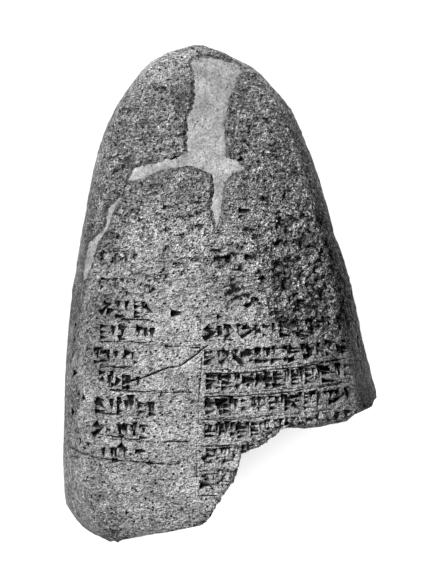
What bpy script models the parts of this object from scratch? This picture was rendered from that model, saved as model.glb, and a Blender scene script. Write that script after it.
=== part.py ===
"""A broken kudurru, a round-topped boundary stone with rows of wedge strokes, lying on its back.

X runs across the inscribed face, Y from the foot to the crown, and Z up out of the bed that the
stone lies on. The form and the carving are shares of the stone: across, of the half width from the
middle; along, of the length from the foot; up, of the depth from the bed.
"""

import math
import random

import bmesh
import bpy
import numpy as np
from mathutils import Matrix, Vector, noise
from mathutils.bvhtree import BVHTree

# Driving sizes, in metres
STONE_LENGTH = 0.380
STONE_WIDTH = 0.240
STONE_DEPTH = 0.165
FILL_DEPTH = 0.0090
FILL_RECESS = 0.0012
FILL_CLEARANCE = 0.0003
STROKE_WIDTH = 0.0050
STROKE_DEPTH = 0.0027
RULING_WIDTH = 0.0012
RULING_DEPTH = 0.0007
ROW_PITCH = 0.0186
SIGN_HEIGHT = 0.0130
SIGN_WIDTH = 0.0125
WEAR_DEPTH = 0.0050
DRESSING_DEPTH = 0.0007
BREAK_ROUGHNESS = 0.0042
BREAK_GRAIN = 0.020
BREAK_LEAN = 0.0008
BREAK_INSET = 0.0015

# The outlines of the stone as it shows from in front: across, along
RIGHT_OUTLINE = [
    (-0.109, 1.000), (0.006, 0.989), (0.109, 0.973), (0.224, 0.953), (0.410, 0.892), (0.487, 0.852),
    (0.590, 0.771), (0.673, 0.690), (0.731, 0.620), (0.731, 0.607), (0.774, 0.590), (0.859, 0.488),
    (0.923, 0.387), (0.968, 0.326), (1.000, 0.274), (1.000, 0.140), (0.930, 0.055), (0.700, 0.000),
]
LEFT_OUTLINE = [
    (-0.173, 1.000), (-0.314, 0.989), (-0.423, 0.973), (-0.494, 0.953), (-0.641, 0.892), (-0.705, 0.852),
    (-0.776, 0.791), (-0.846, 0.690), (-0.904, 0.589), (-0.949, 0.488), (-0.981, 0.387), (-1.000, 0.220),
    (-0.994, 0.104), (-0.962, 0.064), (-0.860, 0.024), (-0.705, 0.000),
]

# The heights of the face, the widest line and the back: up, along
FACE_PROFILE = [
    (0.955, 0.000), (0.975, 0.030), (0.99, 0.080), (1.00, 0.180), (1.00, 0.350), (0.95, 0.550),
    (0.87, 0.720), (0.75, 0.850), (0.62, 0.930), (0.50, 0.980), (0.41, 1.000),
]
WIDEST_PROFILE = [(0.42, 0.000), (0.43, 0.300), (0.41, 0.700), (0.37, 1.000)]
BACK_PROFILE = [
    (0.14, 0.000), (0.02, 0.050), (-0.02, 0.130), (-0.02, 0.600), (0.03, 0.790), (0.12, 0.920),
    (0.24, 0.980), (0.33, 1.000),
]

# The cross section, as shares of its half width and of its heights
ARRIS_ACROSS = 0.87
ARRIS_DROP = 0.28
FACE_BOW = 2.5
SIDE_BULGE = 2.1
BACK_SQUARENESS = 3.0
FOOT_LOW = -0.70
FOOT_SLANT = 0.062
FOOT_SLANT_FADE = 6

# How finely the stone is faceted
FACE_STEPS = 22
SIDE_STEPS = 4
BACK_STEPS = 4
STATIONS = 44
STATION_CROWDING = 0.06
PROFILE_STEPS = 12
BREAK_STEPS = 4

# The line of the break, from the foot to the right edge: across, along
BREAK_LINE = [
    (-0.240, -0.060), (-0.120, 0.030), (-0.077, 0.049), (0.038, 0.098), (0.077, 0.122), (0.115, 0.153),
    (0.150, 0.180), (0.244, 0.189), (0.321, 0.203), (0.385, 0.227), (0.538, 0.229), (0.692, 0.233),
    (0.769, 0.237), (0.846, 0.254), (0.994, 0.276), (1.150, 0.300),
]
BEYOND_BREAK = [(1.30, 0.30), (1.30, -0.15), (-0.30, -0.15)]
CUTTER_MARGIN = 0.05
BREAK_STEP = 0.006
BREAK_LEVELS = 9
BREAK_CRUMB_SHARE = 0.4
BREAK_CRUMB_SCALE = 3
BREAK_STRETCH = 2
BREAK_SHIFT = (5.9, 6.6, 0.4)

# The plaster, in the order of its outline: across, along
CROWN_FILL_OUTLINE = [
    (-0.173, 0.965), (-0.160, 0.940), (-0.154, 0.890), (-0.205, 0.847), (-0.205, 0.781), (-0.308, 0.769),
    (-0.449, 0.757), (-0.526, 0.753), (-0.577, 0.726), (-0.468, 0.734), (-0.365, 0.750), (-0.179, 0.757),
    (-0.051, 0.740), (-0.032, 0.710), (-0.051, 0.674), (-0.016, 0.633), (0.000, 0.670), (0.026, 0.722),
    (0.083, 0.740), (0.160, 0.750), (0.096, 0.766), (0.035, 0.771), (0.026, 0.845), (0.061, 0.892),
    (0.103, 0.928), (0.141, 0.948), (0.103, 0.962), (-0.045, 0.974), (-0.122, 0.975),
]
SIDE_FILL_OUTLINE = [
    (-0.631, 0.692), (-0.705, 0.668), (-0.715, 0.641), (-0.744, 0.623), (-0.824, 0.601), (-0.853, 0.565),
    (-0.859, 0.526), (-0.811, 0.564), (-0.779, 0.603), (-0.712, 0.631), (-0.689, 0.660),
]

# Columns of writing: across where it starts and ends, along of its top row, rows, share of places filled
RIGHT_COLUMN = (-0.09, 0.80, 0.421, 7, 0.95)
LEFT_COLUMN = (-0.77, -0.50, 0.562, 9, 0.85)
ROW_MIDDLE = -0.19
ROW_SWEEP = 0.034
BREAK_MARGIN = 0.003
SIGN_SPACING = 1.15

# Ruled lines: across from and to, along at the lowest place of the row's sweep
RULINGS = [
    (-0.77, -0.12, 0.395), (-0.77, -0.52, 0.347), (-0.66, -0.19, 0.298), (-0.77, -0.30, 0.201),
    (-0.95, -0.26, 0.158), (-0.10, 0.80, 0.346), (-0.10, 0.80, 0.299), (-0.12, 0.70, 0.248),
]
RULING_STEP = 0.009
RULING_CLEAR = 0.0015

# Hollows of the worn patch: across, along, radius in metres
PITS = [
    (0.36, 0.635, 0.0040), (0.52, 0.595, 0.0048), (0.64, 0.585, 0.0045), (0.27, 0.530, 0.0035),
    (0.05, 0.570, 0.0040), (0.42, 0.520, 0.0075), (0.53, 0.478, 0.0070), (0.44, 0.438, 0.0060),
    (0.60, 0.432, 0.0065), (0.71, 0.440, 0.0045), (0.77, 0.390, 0.0045), (0.22, 0.487, 0.0040),
    (-0.38, 0.912, 0.0060), (-0.58, 0.868, 0.0040), (-0.62, 0.755, 0.0030), (0.13, 0.768, 0.0032),
]
PIT_NARROWNESS = 0.7
PIT_FLATNESS = 0.55
PIT_TURN = 100

# The worn patch at the upper right of the writing: across, along, and its reach each way
WORN_PLACE = (0.42, 0.530)
WORN_REACH = (0.48, 0.130)
WORN_FADE = (0.55, 1.15)
WEAR_GRAIN = 0.022
WEAR_SIDE_FADE = 3
DRESSING_SCALE = 0.7
DRESSING_SHIFT = (3.0, 1.0, 5.0)
SEED = 7

# Limits of the cutting: a corner's sharpest miter, points merged in metres, angle of a flat seam
SHARPEST_MITER = 0.35
MERGE_DISTANCE = 0.00001
FLAT_ANGLE = 0.0001

# Finishes: colour and roughness
STONE_FINISH = ((0.20, 0.20, 0.20), 0.85)
PLASTER_FINISH = ((0.60, 0.60, 0.59), 0.90)


def curve_through(points, steps=PROFILE_STEPS):
    """Points on a smooth curve that passes through the given ones."""
    ends = [points[0]] + list(points) + [points[-1]]
    found = []
    for before, start, end, after in zip(ends, ends[1:], ends[2:], ends[3:]):
        a, b, c, d = (np.array(point, float) for point in (before, start, end, after))
        for i in range(steps):
            t = i / steps
            bend = (2 * a - 5 * b + 4 * c - d) * t**2 + (3 * b - a - 3 * c + d) * t**3
            found.append(b + 0.5 * ((c - a) * t + bend))
    found.append(np.array(points[-1], float))
    return np.array(found)


def reader(points):
    """A function that reads a profile's first share at a share along the stone."""
    line = curve_through(points)
    line = line[np.argsort(line[:, 1])]
    return lambda along: float(np.interp(along, line[:, 1], line[:, 0]))


right_edge = reader(RIGHT_OUTLINE)
left_edge = reader(LEFT_OUTLINE)
face_up = reader(FACE_PROFILE)
widest_up = reader(WIDEST_PROFILE)
back_up = reader(BACK_PROFILE)


def place(across, along, height=0.0):
    """A point in metres from its shares across and along."""
    return Vector((across * STONE_WIDTH / 2, (along - 0.5) * STONE_LENGTH, height))


def smooth_step(value, low, high):
    t = min(1.0, max(0.0, (value - low) / (high - low)))
    return t * t * (3 - 2 * t)


def unit_section():
    """The stone cut across: a bowed face between two arrises, steep sides and a squarish back."""
    face = []
    for i in range(FACE_STEPS + 1):
        u = ARRIS_ACROSS * (2 * i / FACE_STEPS - 1)
        face.append((u, 1 - ARRIS_DROP * abs(u / ARRIS_ACROSS) ** FACE_BOW))
    side = []
    for i in range(1, SIDE_STEPS):
        t = i / SIDE_STEPS
        flare = 1 - (1 - t) ** SIDE_BULGE
        side.append((ARRIS_ACROSS + (1 - ARRIS_ACROSS) * flare, (1 - ARRIS_DROP) * (1 - t)))
    back = []
    for i in range(BACK_STEPS):
        angle = math.pi / 2 * i / BACK_STEPS
        power = 2 / BACK_SQUARENESS
        back.append((math.cos(angle) ** power, -(math.sin(angle) ** power)))
    right = face + side + back + [(0.0, -1.0)]
    left = [(-u, v) for u, v in reversed(side + back)]
    return right + left


def wear(across, along):
    """How far the face has weathered down there, in metres."""
    reach = math.hypot((across - WORN_PLACE[0]) / WORN_REACH[0], (along - WORN_PLACE[1]) / WORN_REACH[1])
    patch = 1 - smooth_step(reach, *WORN_FADE)
    spot = place(across, along) / WEAR_GRAIN
    lumps = 0.5 + 0.5 * noise.noise(spot)
    dressing = 0.5 + 0.5 * noise.noise(spot * DRESSING_SCALE + Vector(DRESSING_SHIFT))
    return WEAR_DEPTH * patch * lumps + DRESSING_DEPTH * dressing


def stone_form(name, lowered=0.0):
    """The whole stone as a loft of cross sections, its face and all else lowered by a depth."""
    section = unit_section()
    mesh = bmesh.new()
    rings = []
    for i in range(STATIONS + 1):
        t = i / STATIONS
        along = t - STATION_CROWDING * math.sin(2 * math.pi * t)
        left, right = left_edge(along), right_edge(along)
        middle, half = (left + right) / 2, (right - left) / 2
        widest = widest_up(along) * STONE_DEPTH
        top = face_up(along) * STONE_DEPTH - widest
        bottom = widest - back_up(along) * STONE_DEPTH
        ring = []
        for u, v in section:
            across = middle + u * half
            rise = FOOT_SLANT * max(0.0, across - FOOT_LOW) * (1 - along) ** FOOT_SLANT_FADE
            height = widest + v * (top if v > 0 else bottom)
            if v > 0:
                height -= wear(across, along) * min(1.0, WEAR_SIDE_FADE * v)
            ring.append(mesh.verts.new(place(across, along + rise, height - lowered)))
        rings.append(ring)
    for lower, upper in zip(rings, rings[1:]):
        for k in range(len(section)):
            j = (k + 1) % len(section)
            mesh.faces.new((lower[k], lower[j], upper[j], upper[k]))
    mesh.faces.new(rings[0])
    mesh.faces.new(reversed(rings[-1]))
    bmesh.ops.recalc_face_normals(mesh, faces=mesh.faces)
    return new_object(name, mesh)


def new_object(name, mesh):
    """An object from a bmesh, which is freed."""
    data = bpy.data.meshes.new(name)
    mesh.to_mesh(data)
    mesh.free()
    return bpy.data.objects.new(name, data)


def put(item, collection, cutter=False):
    """Link an object to a collection, as a part or as a cutter."""
    collection.objects.link(item)
    if cutter:
        item.hide_render = True
        item.display_type = "WIRE"
    return item


def boolean(item, other, operation, overlapping=False):
    """Apply an exact Boolean of another object to this one."""
    modifier = item.modifiers.new(operation.title(), "BOOLEAN")
    modifier.object = other
    modifier.operation = operation
    modifier.solver = "EXACT"
    modifier.use_self = overlapping
    result = bpy.data.meshes.new_from_object(item.evaluated_get(bpy.context.evaluated_depsgraph_get()))
    item.modifiers.clear()
    item.data = result


def outline_prism(name, outline, grown=0.0):
    """An upright prism through the face on an outline, grown sideways by a clearance."""
    points = [place(across, along).to_2d() for across, along in outline]
    area = sum(a.cross(b) for a, b in zip(points, points[1:] + points[:1]))
    turn = 1 if area > 0 else -1
    spline_points = []
    for before, here, after in zip(points[-1:] + points, points, points[1:] + points[:1]):
        into = (here - before).normalized()
        away = (after - here).normalized()
        normals = [Vector((d.y, -d.x)) * turn for d in (into, away)]
        bisector = (normals[0] + normals[1]).normalized()
        miter = max(SHARPEST_MITER, bisector.dot(normals[0]))
        spline_points.append(here + bisector * grown / miter)
    curve = bpy.data.curves.new(name, "CURVE")
    curve.dimensions = "2D"
    curve.fill_mode = "BOTH"
    curve.extrude = STONE_DEPTH / 2
    spline = curve.splines.new("POLY")
    spline.points.add(len(spline_points) - 1)
    spline.use_cyclic_u = True
    for point, spot in zip(spline.points, spline_points):
        point.co = (spot.x, spot.y, 0.0, 1.0)
    source = bpy.data.objects.new(name, curve)
    bpy.context.scene.collection.objects.link(source)
    data = bpy.data.meshes.new_from_object(source.evaluated_get(bpy.context.evaluated_depsgraph_get()))
    bpy.data.objects.remove(source)
    mesh = bmesh.new()
    mesh.from_mesh(data)
    bmesh.ops.remove_doubles(mesh, verts=mesh.verts, dist=MERGE_DISTANCE)
    bmesh.ops.translate(mesh, verts=mesh.verts, vec=(0, 0, STONE_DEPTH * 0.75))
    return new_object(name, mesh)


def break_cutter(name):
    """What broke away: everything beyond a ragged wall on the break line."""
    line = curve_through([tuple(place(across, along).to_2d()) for across, along in BREAK_LINE], BREAK_STEPS)
    walk = [Vector(line[0])]
    for point in line[1:]:
        if (Vector(point) - walk[-1]).length >= BREAK_STEP:
            walk.append(Vector(point))
    far = [place(across, along).to_2d() for across, along in BEYOND_BREAK]
    mesh = bmesh.new()
    levels = []
    for i in range(BREAK_LEVELS + 1):
        height = STONE_DEPTH * ((1 + 2 * CUTTER_MARGIN) * i / BREAK_LEVELS - CUTTER_MARGIN)
        ring = []
        for k, point in enumerate(walk):
            ahead = walk[min(k + 1, len(walk) - 1)] - walk[max(k - 1, 0)]
            outward = Vector((ahead.y, -ahead.x)).normalized()
            seat = Vector((point.x, point.y, height / BREAK_STRETCH)) / BREAK_GRAIN + Vector(BREAK_SHIFT)
            crumbs = BREAK_CRUMB_SHARE * noise.noise(BREAK_CRUMB_SCALE * seat)
            rough = BREAK_ROUGHNESS * (noise.noise(seat) + crumbs)
            spot = point + outward * (rough - BREAK_INSET - BREAK_LEAN * height / STONE_DEPTH)
            ring.append(mesh.verts.new((spot.x, spot.y, height)))
        ring += [mesh.verts.new((spot.x, spot.y, height)) for spot in far]
        levels.append(ring)
    for lower, upper in zip(levels, levels[1:]):
        for k in range(len(lower)):
            j = (k + 1) % len(lower)
            mesh.faces.new((lower[k], lower[j], upper[j], upper[k]))
    mesh.faces.new(levels[0])
    mesh.faces.new(reversed(levels[-1]))
    bmesh.ops.triangulate(mesh, faces=mesh.faces)
    bmesh.ops.recalc_face_normals(mesh, faces=mesh.faces)
    return new_object(name, mesh)


# Strokes: the way the tail runs, in degrees from +X
UPRIGHT = -90
LEVEL = 0
RISING = 38
FALLING = -40


def sign(random_source):
    """One made-up group of strokes in a unit cell: across, up, way of the tail, length, width."""
    kind = random_source.choice(["uprights", "bars", "rising", "corner", "frame", "bars", "uprights"])
    if kind == "uprights":
        count = random_source.choice([2, 3])
        return [((i + 0.5) / count, 0.92, UPRIGHT, 0.80, 1.0) for i in range(count)]
    if kind == "bars":
        count = random_source.choice([2, 3])
        bars = [(0.06, (i + 0.5) / count, LEVEL, 0.62, 0.9) for i in range(count)]
        return bars + [(0.86, 0.90, UPRIGHT, 0.80, 1.0)]
    if kind == "rising":
        return [(0.05, 0.18, RISING, 1.05, 1.0), (0.30, 0.88, FALLING, 0.50, 0.9)]
    if kind == "corner":
        head = (0.08, 0.62, FALLING, 0.42, 1.25)
        return [head, (0.55, 0.90, UPRIGHT, 0.80, 1.0), (0.62, 0.30, LEVEL, 0.40, 0.9)]
    return [(0.05, 0.86, LEVEL, 0.85, 1.0), (0.05, 0.16, LEVEL, 0.85, 1.0), (0.30, 0.80, UPRIGHT, 0.55, 0.9)]


def row_sweep(across):
    """How far a row runs uphill from its lowest place, as a share along."""
    return ROW_SWEEP * ((across - ROW_MIDDLE) / (1 - ROW_MIDDLE)) ** 2


def break_limit(across):
    """The share along of the break under a place on the face."""
    return float(np.interp(across, [a for a, _ in BREAK_LINE], [b for _, b in BREAK_LINE]))


def on_stone(across, along):
    return along > break_limit(across) + BREAK_MARGIN


def writing(column, random_source):
    """The strokes of a column: the head's shares across and along, way, length and width."""
    start, end, top, rows, filled = column
    strokes = []
    for row in range(rows):
        across = start
        while across < end:
            width = SIGN_WIDTH * random_source.uniform(0.85, 1.25)
            group = sign(random_source) if random_source.random() < filled else []
            for u, v, way, length, wide in group:
                here = across + u * width / (STONE_WIDTH / 2)
                along = top + row_sweep(here) + ((v - 0.5) * SIGN_HEIGHT - row * ROW_PITCH) / STONE_LENGTH
                run = length * SIGN_HEIGHT
                tail_across = here + math.cos(math.radians(way)) * run / (STONE_WIDTH / 2)
                tail_along = along + math.sin(math.radians(way)) * run / STONE_LENGTH
                if on_stone(here, along) and on_stone(tail_across, tail_along):
                    strokes.append((here, along, way, run, wide * STROKE_WIDTH))
            across += width * SIGN_SPACING / (STONE_WIDTH / 2)
    return strokes


def drop_on(surface, across, along):
    """The point of the face under a place and its normal, or the nearest one off the stone."""
    above = place(across, along, 2 * STONE_DEPTH)
    hit, normal, _, _ = surface.ray_cast(above, Vector((0, 0, -1)))
    if hit is None:
        hit, normal, _, _ = surface.find_nearest(place(across, along, STONE_DEPTH * widest_up(along)))
    return hit, normal


def stroke_cutters(name, strokes, surface):
    """Three-sided wedges, deep and wide at the head and running out at the tail."""
    lie = Matrix(((0, 0, 1, 0), (-1, 0, 0, 0), (0, -1, 0, 0), (0, 0, 0, 1)))
    mesh = bmesh.new()
    for across, along, way, length, width in strokes:
        hit, normal = drop_on(surface, across, along)
        tilt = Vector((0, 0, 1)).rotation_difference(normal).to_matrix().to_4x4()
        aim = Matrix.Rotation(math.radians(way), 4, "Z")
        size = Matrix.Diagonal((width * math.sin(math.pi / 3), STROKE_DEPTH, length, 1.0))
        matrix = Matrix.Translation(hit) @ tilt @ aim @ lie @ Matrix.Translation((0, 0, length / 2)) @ size
        made = bmesh.ops.create_cone(mesh, cap_ends=True, segments=3, radius1=1.0, radius2=0.0, depth=1.0)
        bmesh.ops.transform(mesh, verts=made["verts"], matrix=matrix)
    return new_object(name, mesh)


def ruling_cutters(name, rulings, surface):
    """Thin three-sided grooves that run between the rows."""
    mesh = bmesh.new()
    for start, end, along in rulings:
        rings = []
        count = max(2, round((end - start) * STONE_WIDTH / 2 / RULING_STEP))
        for i in range(count + 1):
            across = start + (end - start) * i / count
            hit, normal = drop_on(surface, across, along + row_sweep(across))
            spots = [hit - normal * RULING_DEPTH]
            splay = RULING_WIDTH / 2 * (1 + RULING_CLEAR / RULING_DEPTH)
            for way in (-1, 1):
                spots.append(hit + normal * RULING_CLEAR + Vector((0, way * splay, 0)))
            rings.append([mesh.verts.new(spot) for spot in spots])
        for here, there in zip(rings, rings[1:]):
            for k in range(3):
                j = (k + 1) % 3
                mesh.faces.new((here[k], here[j], there[j], there[k]))
        mesh.faces.new(rings[0])
        mesh.faces.new(reversed(rings[-1]))
    bmesh.ops.recalc_face_normals(mesh, faces=mesh.faces)
    return new_object(name, mesh)


def pit_cutters(name, pits, surface):
    """Flattened balls that bite the hollows of the worn patch."""
    mesh = bmesh.new()
    for across, along, radius in pits:
        hit, _ = drop_on(surface, across, along)
        made = bmesh.ops.create_icosphere(mesh, subdivisions=1, radius=radius)
        turn = Matrix.Rotation(PIT_TURN * across, 4, "Z")
        flat = Matrix.Diagonal((1.0, PIT_NARROWNESS, PIT_FLATNESS, 1.0))
        matrix = Matrix.Translation(hit) @ turn @ flat
        bmesh.ops.transform(mesh, verts=made["verts"], matrix=matrix)
    return new_object(name, mesh)


def surface_of(item):
    """A tree that a ray can be cast on."""
    mesh = bmesh.new()
    mesh.from_mesh(item.data)
    tree = BVHTree.FromBMesh(mesh)
    mesh.free()
    return tree


def tidy(item):
    """Drop the slivers that cutting leaves, and triangulate."""
    mesh = bmesh.new()
    mesh.from_mesh(item.data)
    bmesh.ops.dissolve_limit(mesh, angle_limit=FLAT_ANGLE, verts=mesh.verts, edges=mesh.edges)
    bmesh.ops.triangulate(mesh, faces=mesh.faces)
    mesh.to_mesh(item.data)
    mesh.free()


def material(name, colour, roughness):
    finish = bpy.data.materials.new(name)
    finish.use_nodes = True
    shader = finish.node_tree.nodes["Principled BSDF"]
    shader.inputs["Base Color"].default_value = (*colour, 1.0)
    shader.inputs["Roughness"].default_value = roughness
    shader.inputs["Metallic"].default_value = 0.0
    return finish


def build_fill(name, outline, parts, cutters, stone):
    """Cut a channel in the stone for one plaster fill, and cast the fill in it."""
    floor = put(stone_form(name + "_floor", FILL_DEPTH + FILL_CLEARANCE), cutters, cutter=True)
    channel = put(outline_prism(name + "_channel", outline, FILL_CLEARANCE), cutters, cutter=True)
    boolean(channel, floor, "DIFFERENCE")
    boolean(stone, channel, "DIFFERENCE")
    fill = put(outline_prism(name, outline), parts)
    skin = put(stone_form(name + "_skin", FILL_RECESS), cutters, cutter=True)
    base = put(stone_form(name + "_base", FILL_DEPTH), cutters, cutter=True)
    boolean(fill, skin, "INTERSECT")
    boolean(fill, base, "DIFFERENCE")
    tidy(fill)
    return fill


def flatten_bed(item):
    """Cut the back off flat at the height of the ground."""
    mesh = bmesh.new()
    mesh.from_mesh(item.data)
    geometry = mesh.verts[:] + mesh.edges[:] + mesh.faces[:]
    ground = {"plane_co": (0, 0, 0), "plane_no": (0, 0, -1)}
    cut = bmesh.ops.bisect_plane(mesh, geom=geometry, clear_outer=True, **ground)
    rim = [edge for edge in cut["geom_cut"] if isinstance(edge, bmesh.types.BMEdge)]
    bmesh.ops.contextual_create(mesh, geom=rim)
    bmesh.ops.recalc_face_normals(mesh, faces=mesh.faces)
    mesh.to_mesh(item.data)
    mesh.free()


def main():
    for item in list(bpy.data.objects):
        bpy.data.objects.remove(item, do_unlink=True)
    parts = bpy.data.collections.new("Kudurru")
    cutters = bpy.data.collections.new("Cutters")
    for collection in (parts, cutters):
        bpy.context.scene.collection.children.link(collection)

    stone = put(stone_form("stone"), parts)
    surface = surface_of(stone)
    flatten_bed(stone)

    random_source = random.Random(SEED)
    strokes = writing(RIGHT_COLUMN, random_source) + writing(LEFT_COLUMN, random_source)
    lost = put(break_cutter("break"), cutters, cutter=True)
    wedges = put(stroke_cutters("strokes", strokes, surface), cutters, cutter=True)
    pits = put(pit_cutters("pits", PITS, surface), cutters, cutter=True)
    rulings = put(ruling_cutters("rulings", RULINGS, surface), cutters, cutter=True)
    boolean(stone, lost, "DIFFERENCE")
    boolean(stone, wedges, "DIFFERENCE", overlapping=True)
    boolean(stone, pits, "DIFFERENCE")
    boolean(stone, rulings, "DIFFERENCE")
    crown_fill = build_fill("crown_fill", CROWN_FILL_OUTLINE, parts, cutters, stone)
    side_fill = build_fill("side_fill", SIDE_FILL_OUTLINE, parts, cutters, stone)
    tidy(stone)
    stone.data.materials.clear()
    stone.data.materials.append(material("grey_stone", *STONE_FINISH))
    plaster = material("pale_plaster", *PLASTER_FINISH)

    centre = bpy.data.objects.new("bed_centre", None)
    parts.objects.link(centre)
    corners = np.array([vertex.co for vertex in stone.data.vertices])
    middle = (corners.min(axis=0) + corners.max(axis=0)) / 2
    centre.location = (-middle[0], -middle[1], 0.0)
    stone.parent = centre
    for fill in (crown_fill, side_fill):
        fill.data.materials.clear()
        fill.data.materials.append(plaster)
        fill.parent = centre
    pieces = (stone, crown_fill, side_fill)
    print("strokes", len(strokes), "triangles", {piece.name: len(piece.data.polygons) for piece in pieces})


main()
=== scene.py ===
# %% [markdown]
# # A kudurru, lying with its writing up
#
# The stone is a rounded boundary stone with a broken right foot. Its face carries two columns of
# wedge strokes, worn away towards the right shoulder, and old breaks in its crown and at its left
# edge are filled with pale plaster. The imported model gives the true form; this script gives the
# surface.

# %% Load the frame
import math
import random

import bmesh
import bpy
import numpy as np
from mathutils import Matrix, Vector
from mathutils.bvhtree import BVHTree


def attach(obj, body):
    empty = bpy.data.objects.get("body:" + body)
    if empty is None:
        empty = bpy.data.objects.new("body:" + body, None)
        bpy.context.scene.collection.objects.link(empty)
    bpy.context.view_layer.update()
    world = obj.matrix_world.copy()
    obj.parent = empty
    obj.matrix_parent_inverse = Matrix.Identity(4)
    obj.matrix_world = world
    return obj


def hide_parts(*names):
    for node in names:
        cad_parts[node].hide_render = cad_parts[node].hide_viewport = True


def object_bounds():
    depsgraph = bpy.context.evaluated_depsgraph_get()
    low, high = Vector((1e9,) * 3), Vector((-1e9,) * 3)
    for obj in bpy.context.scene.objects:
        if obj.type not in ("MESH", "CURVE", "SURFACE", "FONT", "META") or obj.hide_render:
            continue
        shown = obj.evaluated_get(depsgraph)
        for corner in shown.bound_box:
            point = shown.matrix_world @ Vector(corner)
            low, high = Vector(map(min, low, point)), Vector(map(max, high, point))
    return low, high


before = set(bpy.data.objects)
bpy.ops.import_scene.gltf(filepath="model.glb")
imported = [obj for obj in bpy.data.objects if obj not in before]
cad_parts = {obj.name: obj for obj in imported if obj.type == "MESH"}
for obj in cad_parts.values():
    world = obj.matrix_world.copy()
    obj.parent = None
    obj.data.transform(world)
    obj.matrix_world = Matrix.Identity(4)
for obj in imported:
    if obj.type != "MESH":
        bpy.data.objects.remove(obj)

MM = 0.001

cad_box = [[float(value) for value in corner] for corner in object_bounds()]
LOW, HIGH = (Vector(corner) for corner in cad_box)
WIDTH, LENGTH, DEPTH = HIGH - LOW
print("box of the stone, in mm:", [round(side / MM) for side in (WIDTH, LENGTH, DEPTH)])

# %% [markdown]
# ## Helpers
#
# An operator works on whatever is selected, so each step first selects one object and nothing else.
# Places on the face are shares: across, of the half width from the middle, and along, from the foot.


# %% Select, place and apply
def only(item):
    """Select one object and make it the active one."""
    bpy.ops.object.select_all(action="DESELECT")
    item.select_set(True)
    bpy.context.view_layer.objects.active = item
    return item


def at(across, along, height=0.0):
    """A point from its shares across and along the stone."""
    return Vector(((LOW.x + HIGH.x) / 2 + across * WIDTH / 2, LOW.y + along * LENGTH, height))


def apply_modifier(item, kind, **settings):
    """Add a modifier with these settings and apply it."""
    modifier = item.modifiers.new(kind.title(), kind)
    for name, value in settings.items():
        setattr(modifier, name, value)
    only(item)
    bpy.ops.object.modifier_apply(modifier=modifier.name)


def triangles(item):
    """How many triangles a piece has, its larger faces counted as triangles too."""
    return sum(len(face.vertices) - 2 for face in item.data.polygons)


def smooth_step(value, low, high):
    """0 below the low end, 1 above the high end, and a soft slope between them."""
    t = np.clip((np.asarray(value) - low) / (high - low), 0.0, 1.0)
    return t * t * (3 - 2 * t)


# %% [markdown]
# ## The camera
#
# The photograph looks at the face squarely from far away, so the camera hangs above the lying stone
# with its top towards the crown. A long lens keeps the outline free of perspective.

# %% Camera
FRAME_HEIGHT = 0.4470
CAMERA_DISTANCE = 10.0
CAMERA_REACH = 50.0
SENSOR = 24.0
VIEW_CENTRE = (0.0, 0.0020)
WIDEST_HEIGHT = 0.42 * DEPTH

bpy.ops.object.camera_add(location=(*VIEW_CENTRE, WIDEST_HEIGHT + CAMERA_DISTANCE), rotation=(0, 0, 0))
camera = bpy.context.object
camera.name = "camera"
camera.data.sensor_fit = "VERTICAL"
camera.data.sensor_height = SENSOR
camera.data.lens = SENSOR * CAMERA_DISTANCE / FRAME_HEIGHT
camera.data.clip_end = CAMERA_REACH
bpy.context.scene.camera = camera
bpy.context.scene.view_settings.view_transform = "Standard"
print("lens in mm:", round(camera.data.lens))

# %% [markdown]
# ## Floor and light
#
# A raking key light from the upper left makes the strokes read. It is linked to the stone alone, and
# a broad light from straight above whitens the floor, so the stone throws only a soft shadow there.

# %% Floor
FLOOR_SIZE = 24.0
FLOOR_GREY = 0.86

bpy.ops.mesh.primitive_plane_add(size=FLOOR_SIZE, location=(0, 0, LOW.z))
floor = bpy.context.object
floor.name = "floor"
floor_finish = bpy.data.materials.new("pale_floor")
floor_finish.use_nodes = True
floor_shader = floor_finish.node_tree.nodes["Principled BSDF"]
floor_shader.inputs["Base Color"].default_value = (FLOOR_GREY, FLOOR_GREY, FLOOR_GREY, 1)
floor_shader.inputs["Roughness"].default_value = 1.0
floor_shader.inputs["Specular IOR Level"].default_value = 0.0
floor.data.materials.append(floor_finish)
print("floor at", round(LOW.z / MM, 1), "mm")

# %% Lights
KEY_FROM = Vector((-0.50, 0.50, 0.70))
KEY_STRENGTH = 5.0
KEY_ANGLE = 3.0
TOP_FROM = Vector((0, 0, 1))
TOP_STRENGTH = 6.5
TOP_ANGLE = 70.0
LAMP_DISTANCE = 2


def add_sun(name, comes_from, strength, angle):
    """A sun lamp that shines from a direction, with its disc's angle in degrees."""
    bpy.ops.object.light_add(type="SUN", location=comes_from * LAMP_DISTANCE)
    sun = bpy.context.object
    sun.name = name
    sun.rotation_euler = comes_from.to_track_quat("Z", "Y").to_euler()
    sun.data.energy = strength
    sun.data.angle = math.radians(angle)
    return sun


key = add_sun("key_light", KEY_FROM, KEY_STRENGTH, KEY_ANGLE)
top = add_sun("top_light", TOP_FROM, TOP_STRENGTH, TOP_ANGLE)
lit_by_key = bpy.data.collections.new("lit_by_key")
lit_by_top = bpy.data.collections.new("lit_by_top")
key.light_linking.receiver_collection = lit_by_key
top.light_linking.receiver_collection = lit_by_top
lit_by_top.objects.link(floor)
print("lights:", [light.name for light in (key, top)])

# %% Sky
SKY_STRENGTH = 0.12

sky = bpy.data.worlds.new("sky")
bpy.context.scene.world = sky
sky.use_nodes = True
sky.node_tree.nodes["Background"].inputs["Color"].default_value = (1, 1, 1, 1)
sky.node_tree.nodes["Background"].inputs["Strength"].default_value = SKY_STRENGTH
print("sky strength:", SKY_STRENGTH)

# %% [markdown]
# ## The stone: a copy to work on
#
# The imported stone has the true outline, break, channels and boldest strokes. It could be drawn anew,
# but a copy of it can't drift from it. The copy is merged, because its triangles are loose, and the
# rest of the carving is cut into it. The merging distance is tiny, so that no sliver collapses: a
# Boolean needs a closed mesh.

# %% Copy and merge
MERGE = 0.000001


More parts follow.
